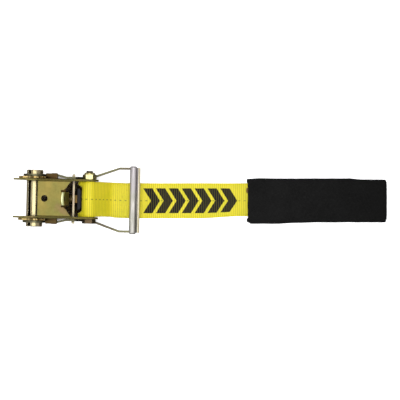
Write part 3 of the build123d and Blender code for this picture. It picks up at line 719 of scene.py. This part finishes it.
def sleeve_half_width(x, side):
    """The two edges of the sleeve wander: each is pulled in where it was pressed flat."""
    share = (x - SLEEVE_START) / (SLEEVE_END - SLEEVE_START)
    half = SLEEVE_HALF + 0.9 * MM
    if side > 0:
        half -= 0.9 * MM * (1 - smooth(0.0, 0.09, share)) + 1.6 * MM * smooth(0.72, 0.82, share)
    else:
        half += 1.0 * MM * (1 - smooth(0.2, 0.34, share)) - 1.1 * MM * smooth(0.36, 0.5, share)
    half += 0.4 * MM * wander(11 + side, x * 18) + 0.25 * MM * wander(14 + side, x * 70)
    from_end = max(SLEEVE_END - x, 0.0)
    corner = 3.0 * MM
    if from_end < corner:
        half -= corner - math.sqrt(corner ** 2 - (corner - from_end) ** 2)
    return half


def mouth_offset(across, upper):
    """The mouth is cut a little unevenly and one corner is turned back."""
    cut = 0.5 * MM * wander(21 + upper, across * 95) + 0.35 * MM * wander(25 + upper, across * 260)
    cut -= 1.7 * MM * smooth(23.5 * MM, 27.0 * MM, abs(across))
    return cut + 5.4 * MM * smooth(-29.6 * MM, -32.6 * MM, across) + 0.7 * MM


def crumple(x, across):
    """How far the cloth stands off the webbing inside it, on the upper skin."""
    swells = 0.45 * (1 + wander(31, x * 15, across * 24))
    dents = 0.16 * (1 + wander(33, x * 62, across * 80))
    seam_at = 28.3 * MM + 0.5 * MM * wander(35, x * 30)
    height = swells + dents + 0.5 * math.exp(-((abs(across) - seam_at) / (0.9 * MM)) ** 2)
    for foot, lean, width in ((0.18, 0.9, 3.4), (0.36, -0.7, 2.6), (0.55, 0.5, 4.0), (0.79, -1.1, 3.0)):
        from_crease = x - SLEEVE_START - foot * (SLEEVE_END - SLEEVE_START) - lean * across
        strength = 0.5 + 0.5 * wander(37, foot * 40, across * 60)
        height += 0.5 * strength * math.exp(-(from_crease / (width * MM)) ** 2)
    return height * MM


def sleeve_point(distance, angle):
    """A point round the flat tube by angle and along it by distance.

    Past the fold the tube is upside down, so its upper skin is where height is negative.
    """
    total = SLEEVE_ROUTE.length
    share, height = math.cos(angle), math.sin(angle)
    near_mouth = min(distance, total - distance)
    upper = distance > total / 2
    x, z, (nx, nz) = SLEEVE_ROUTE.at(distance)
    half = sleeve_half_width(x, 1 if share > 0 else -1)
    across = half * math.copysign(abs(share) ** 0.55, share)
    stuffed = 1 - 0.62 * smooth(0.84, 0.96, abs(across) / SLEEVE_HALF)
    offset = SLEEVE_T / 2 * stuffed * math.copysign(abs(height) ** 0.45, height)
    if upper and height < 0:
        offset -= crumple(x, across) * stuffed * min(1.0, 1.5 * abs(height))
    push = mouth_offset(across, upper) * (1 - smooth(0, 9 * MM, near_mouth))
    return turned((x + push + nx * offset, across, z + nz * offset))


def make_sleeve():
    """An open tube. Its two skins lie on different parts of the weave."""
    around, steps = 84, 210
    total = SLEEVE_ROUTE.length
    vertices, uvs = [], []
    for i in range(steps + 1):
        distance = total * i / steps
        for k in range(around):
            angle = 2 * math.pi * k / around
            point = sleeve_point(distance, angle)
            vertices.append(point)
            uvs.append((distance, 0.5 + point.y if angle < math.pi else 0.7 - point.y))
    faces = ring_faces(steps + 1, around, closed_ends=False)
    piece = mesh_object("sleeve_woven", vertices, faces, uvs)
    wall = piece.modifiers.new("wall", "SOLIDIFY")
    wall.thickness = SLEEVE_CLOTH
    wall.offset = -1
    piece.data.materials.append(woven_black())
    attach(piece, "strap")
    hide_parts("sleeve")
    return piece


# Springs

def spring_finish():
    tones = [(0.10, 0.075, 0.035), (0.15, 0.11, 0.055)]
    return plated("spring_steel", tones, 0.3, 120, worn=(0.3, 0.25, 0.15))


def make_spring(node, joint, turns, wire, finish):
    """A coil in the CAD spring's place, squeezed between the body that it pushes and its seat."""
    axis = joint_axis[joint]
    side = Vector((0, 1, 0))
    up = axis.cross(side)
    points = [vertex.co for vertex in frame["nodes"][node].data.vertices]
    spans = [[point.dot(way) for point in points] for way in (axis, side, up)]
    (near, far), (left, right), (low, high) = [(min(span), max(span)) for span in spans]
    middle = side * ((left + right) / 2) + up * ((low + high) / 2)
    radius = (right - left - wire) / 2
    around, steps = 10, round(30 * turns)
    vertices = []
    for i in range(steps + 1):
        angle = 2 * math.pi * turns * i / steps
        out = side * math.cos(angle) + up * math.sin(angle)
        centre = middle + out * radius + axis * (near + wire / 2 + (far - near - wire) * i / steps)
        for k in range(around):
            turn = 2 * math.pi * k / around
            vertices.append(centre + (out * math.cos(turn) + axis * math.sin(turn)) * (wire / 2))
    piece = mesh_object(node + "_coil", vertices, ring_faces(steps + 1, around))
    piece.data.materials.append(finish)
    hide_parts(node)
    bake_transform(piece)


# CAD nodes

def cad_finishes(steel):
    """The finish of every CAD node that stays."""
    olive, gold = (0.205, 0.165, 0.046), (0.24, 0.185, 0.05)
    green, pink = (0.20, 0.182, 0.052), (0.245, 0.175, 0.075)
    plate = plated("yellow_zinc_plate", [gold, olive, green, pink], 0.52, 30,
                   worn=(0.4, 0.38, 0.22), marks=fold_shade_and_lip_highlight)
    bright = plated("yellow_zinc_bright", [(0.40, 0.31, 0.165), (0.38, 0.34, 0.19), (0.43, 0.33, 0.23)],
                    0.30, 50, painted_shade=0.35)
    wheel = plated("yellow_zinc_wheel", [(0.28, 0.185, 0.07), (0.33, 0.24, 0.09), (0.23, 0.19, 0.08)],
                   0.34, 60, worn=(0.5, 0.45, 0.3))
    # Painted shade: a darker copy of the yellow zinc for the drive pawl, which sits in the buckle's shade.
    shaded_zinc = plated("yellow_zinc_shaded", [(0.12, 0.068, 0.024), (0.14, 0.085, 0.028), (0.10, 0.064, 0.022)],
                  0.5, 60, worn=(0.2, 0.15, 0.07), painted_shade=0.3)
    # Painted shade: a dark brown copy of the yellow zinc for the lock pawl, whose ends lie in shade.
    brown = plated("yellow_zinc_brown_shaded", [(0.115, 0.067, 0.025), (0.13, 0.088, 0.033), (0.10, 0.068, 0.025)],
                   0.46, 60, worn=(0.3, 0.22, 0.1))
    arms = plated("yellow_zinc_arms", [(0.105, 0.10, 0.062), (0.125, 0.118, 0.066), (0.11, 0.095, 0.062)],
                  0.42, 30, worn=(0.3, 0.28, 0.18))
    bar = plated("yellow_zinc_bar", [(0.26, 0.22, 0.135), (0.27, 0.235, 0.15), (0.28, 0.21, 0.16)], 0.36, 90)
    nut = plated("nut_zinc", [(0.41, 0.36, 0.155), (0.47, 0.43, 0.20), (0.38, 0.32, 0.15)], 0.22, 90)
    bolt = plated("bolt_zinc", [(0.056, 0.037, 0.019), (0.078, 0.055, 0.030), (0.050, 0.034, 0.016)],
                  0.4, 90, worn=(0.3, 0.25, 0.15))
    drawn = plated("drawn_steel", [(0.44, 0.43, 0.39), (0.48, 0.46, 0.43), (0.41, 0.41, 0.355)], 0.52, 22,
                   grain=(1, 0.03, 1), dirt=0.12, worn=(0.75, 0.73, 0.7), painted_shade=0.2, marks=lip_marks)
    tab = moulded("tab_plastic", (0.008, 0.007, 0.010), 0.58)
    nylon = moulded("nylon", (0.62, 0.62, 0.58), 0.5)
    return {
        "base_frame": plate, "lock_pawl": brown, "spring_bar": bar, "drive_pawl": shaded_zinc,
        "ratchet_wheel_a": wheel, "ratchet_wheel_b": wheel, "handle_arm_a": arms, "handle_arm_b": arms,
        "mandrel_half_a": bright, "mandrel_half_b": bright, "anchor_bolt": bolt, "anchor_nut": nut,
        "bolt_spacer": nut, "retaining_pin_a": steel, "retaining_pin_b": steel,
        "grip_shell": drawn, "grip_rod": drawn, "nut_insert": nylon, "finger_tab": tab,
    }


def finish_cad_nodes(finishes):
    """Gives every shown CAD node its finish and small rounded edges."""
    for name, material in finishes.items():
        node = frame["nodes"][name]
        node.data.materials.clear()
        node.data.materials.append(material)
        weld = node.modifiers.new("weld", "WELD")
        weld.merge_threshold = 0.002 * MM
        bevel = node.modifiers.new("bevel", "BEVEL")
        bevel.width = 0.3 * MM
        bevel.segments = 2
        bevel.limit_method = "ANGLE"
        bevel.angle_limit = math.radians(40)
        bevel.use_clamp_overlap = True


make_camera()
make_lamps()
make_world()
make_floor()
webbing = make_webbing()
stitches = make_stitches()
sleeve = make_sleeve()
steel = spring_finish()
make_spring("lock_spring", "lock_slide", 6, 1.1 * MM, steel)
make_spring("drive_spring", "drive_slide", 3.5, 1.7 * MM, steel)
finish_cad_nodes(cad_finishes(steel))

bpy.context.view_layer.update()
